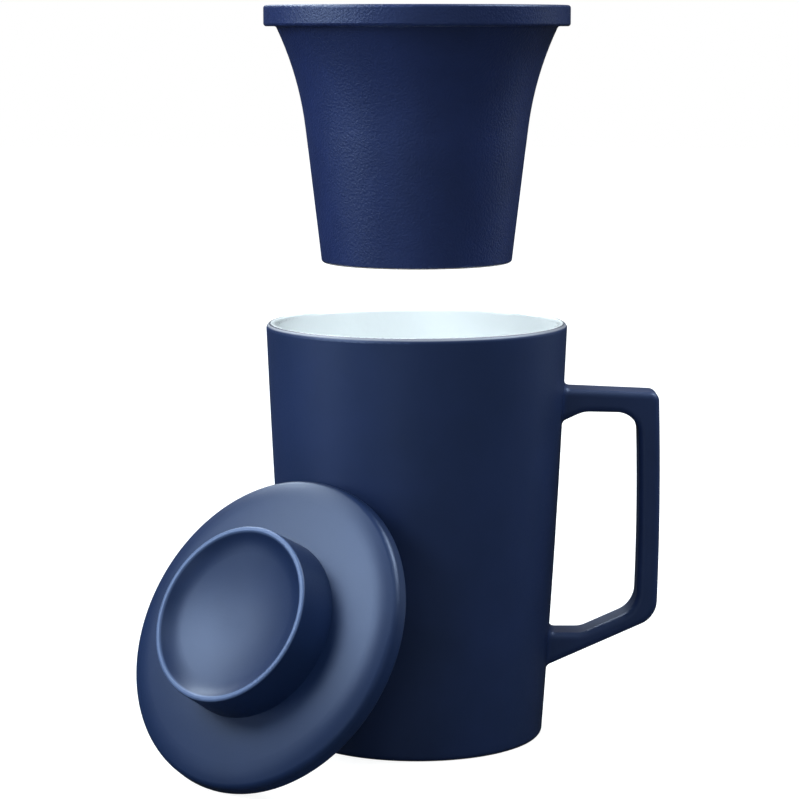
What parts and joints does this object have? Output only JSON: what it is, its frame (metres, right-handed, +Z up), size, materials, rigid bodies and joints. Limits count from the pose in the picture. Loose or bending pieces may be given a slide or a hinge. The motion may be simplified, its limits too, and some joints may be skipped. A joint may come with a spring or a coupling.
{
  "type": "lidded tea mug with infuser",
  "caption": "Tall tapered ceramic mug with a squared strap handle, a flanged lift-out infuser with a pierced floor, and a loose lid with a dished knob.",
  "frame": {"origin": "centre of the mug's foot ring, on the plane that the mug stands on", "axes": "+X towards the handle, +Y away from the side that the lid leans on, +Z up along the axis of mug and infuser"},
  "size_m": [0.1553, 0.133, 0.2196],
  "materials": {
    "mug_navy_glaze": "satin matte navy glaze on stoneware, bare clay on the foot ring",
    "white_liner_glaze": "gloss white liner glaze",
    "infuser_navy_glaze": "satin matte navy glaze with a fine grain",
    "lid_navy_glaze": "satin matte navy glaze"
  },
  "bodies": {
    "mug": {"mug_body": "mug_navy_glaze", "mug_liner": "white_liner_glaze", "mug_handle": "mug_navy_glaze"},
    "infuser": {"infuser": "infuser_navy_glaze"},
    "lid": {"lid_disc": "lid_navy_glaze", "lid_knob": "lid_navy_glaze"}
  },
  "joints": [
    {"name": "infuser_lift", "type": "slide", "parent": "mug", "child": "infuser", "axis": [0, 0, 1], "range_m": [-0.0876, 0]},
    {"name": "lid_pick_up", "type": "slide", "parent": "mug", "child": "lid", "axis": [-0.5516, -0.6787, 0.4848], "range_m": [0, 0.1]}
  ]
}
